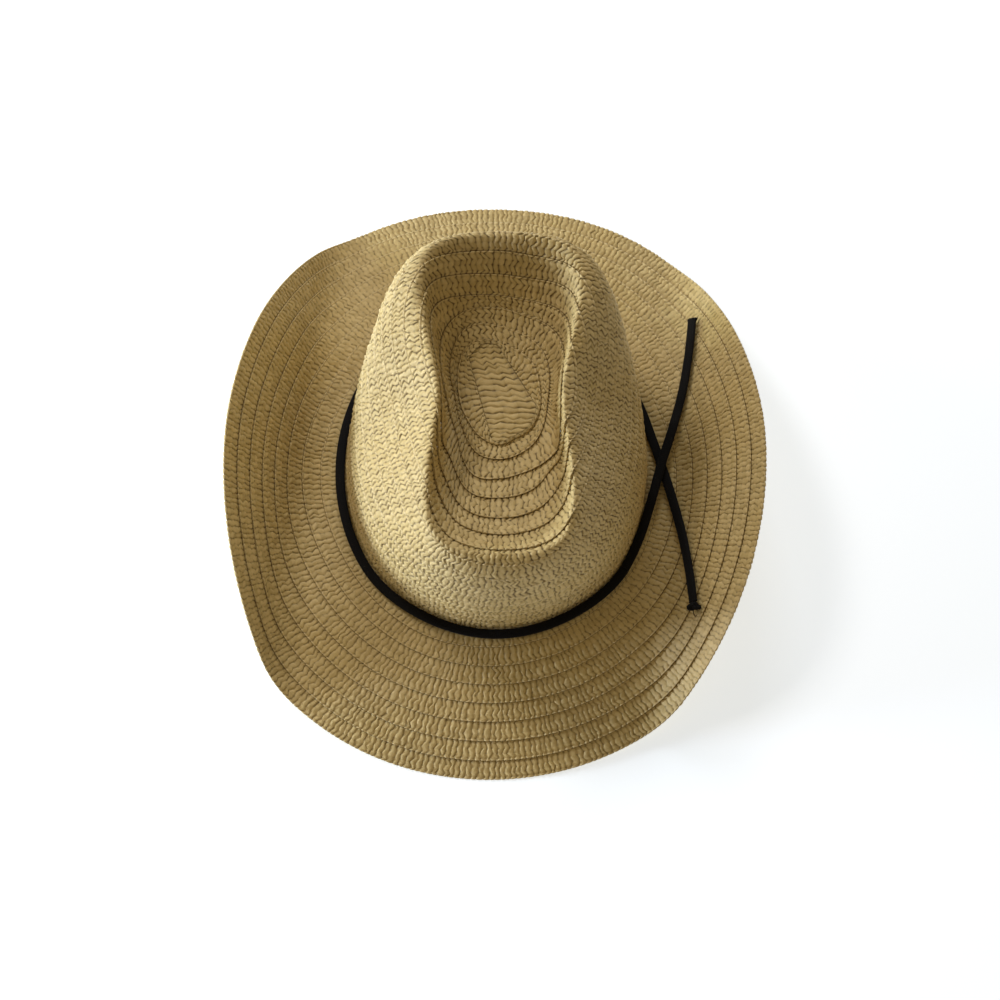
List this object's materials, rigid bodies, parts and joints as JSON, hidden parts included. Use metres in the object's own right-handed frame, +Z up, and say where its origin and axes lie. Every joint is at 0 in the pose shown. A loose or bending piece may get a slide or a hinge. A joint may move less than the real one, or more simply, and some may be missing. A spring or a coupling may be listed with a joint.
{
  "type": "straw cowboy hat",
  "caption": "Sewn straw hat with a long dented crown, a brim turned up at both sides and a flat black lace round the crown whose ends cross and lie on the brim.",
  "frame": {"origin": "centre of the hat's plan, on the surface it rests on", "axes": "+Z up, -Y towards the front of the hat, +X towards the side where the lace ends lie"},
  "size_m": [0.2993, 0.356, 0.1294],
  "materials": {
    "straw": "natural plaited paper straw",
    "lace": "matt black woven lace"
  },
  "bodies": {
    "root": {"crown": "straw", "brim": "straw", "band": "lace", "upper_tail": "lace", "lower_tail": "lace", "end_knot": "lace"}
  },
  "joints": []
}
